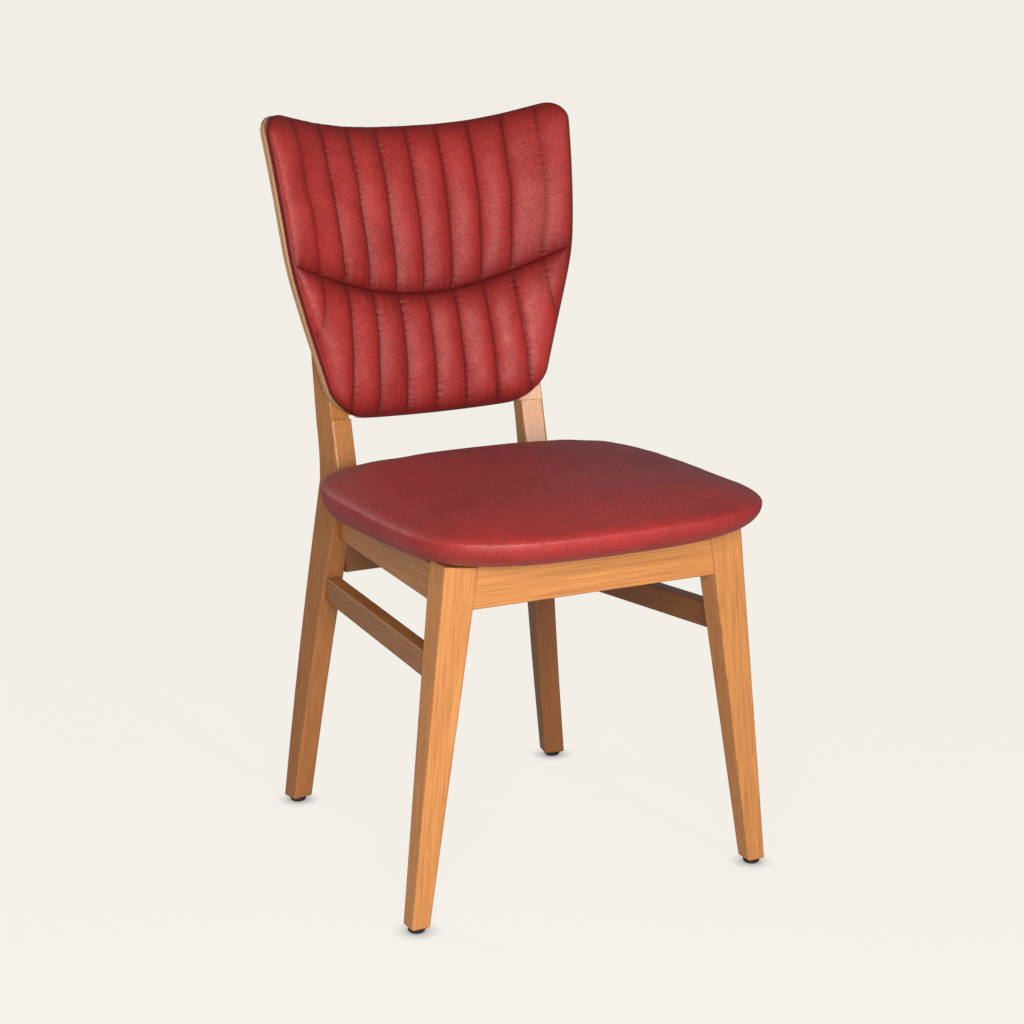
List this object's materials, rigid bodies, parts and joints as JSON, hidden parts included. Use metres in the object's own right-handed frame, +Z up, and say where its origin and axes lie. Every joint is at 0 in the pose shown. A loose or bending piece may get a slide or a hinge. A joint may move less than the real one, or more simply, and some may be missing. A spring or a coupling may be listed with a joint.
{
  "type": "restaurant chair",
  "caption": "Side chair with splayed wooden legs, a domed leather seat and a curved, channel-stitched leather back on a moulded plywood shell.",
  "frame": {"origin": "on the floor, under the middle of the chair's box", "axes": "+Z up, -Y the way the chair faces, +X to the right as seen from in front of the chair"},
  "size_m": [0.4706, 0.613, 0.8762],
  "materials": {
    "frame_wood": "satin lacquered beech, honey brown",
    "stretcher_wood": "satin lacquered beech, honey brown",
    "block_wood": "raw sawn beech",
    "seat_plywood": "raw plywood",
    "shell_plywood": "satin lacquered moulded plywood with bare layered edges",
    "leather": "soft waxed leather, mottled red",
    "foam": "cut upholstery foam",
    "dust_cloth": "black non-woven cloth",
    "steel": "zinc plated",
    "glide_plastic": "black moulded nylon"
  },
  "bodies": {
    "root": {"front_leg_left": "frame_wood", "front_leg_right": "frame_wood", "rear_leg_left": "frame_wood", "rear_leg_right": "frame_wood", "front_rail": "frame_wood", "side_rail_left": "frame_wood", "side_rail_right": "frame_wood", "back_rail": "frame_wood", "stretcher_left": "stretcher_wood", "stretcher_right": "stretcher_wood", "block_front_left": "block_wood", "block_front_right": "block_wood", "block_rear_left": "block_wood", "block_rear_right": "block_wood", "block_screws": "steel", "seat_board": "seat_plywood", "seat_foam": "foam", "seat_cover": "leather", "seat_dust_cover": "dust_cloth", "seat_bolts": "steel", "seat_tee_nuts": "steel", "back_shell": "shell_plywood", "back_foam_upper": "foam", "back_foam_lower": "foam", "back_cover_upper": "leather", "back_cover_lower": "leather", "back_bolts": "steel", "back_tee_nuts": "steel", "glide_front_left": "glide_plastic", "glide_front_right": "glide_plastic", "glide_rear_left": "glide_plastic", "glide_rear_right": "glide_plastic", "glide_nails": "steel"}
  },
  "joints": []
}
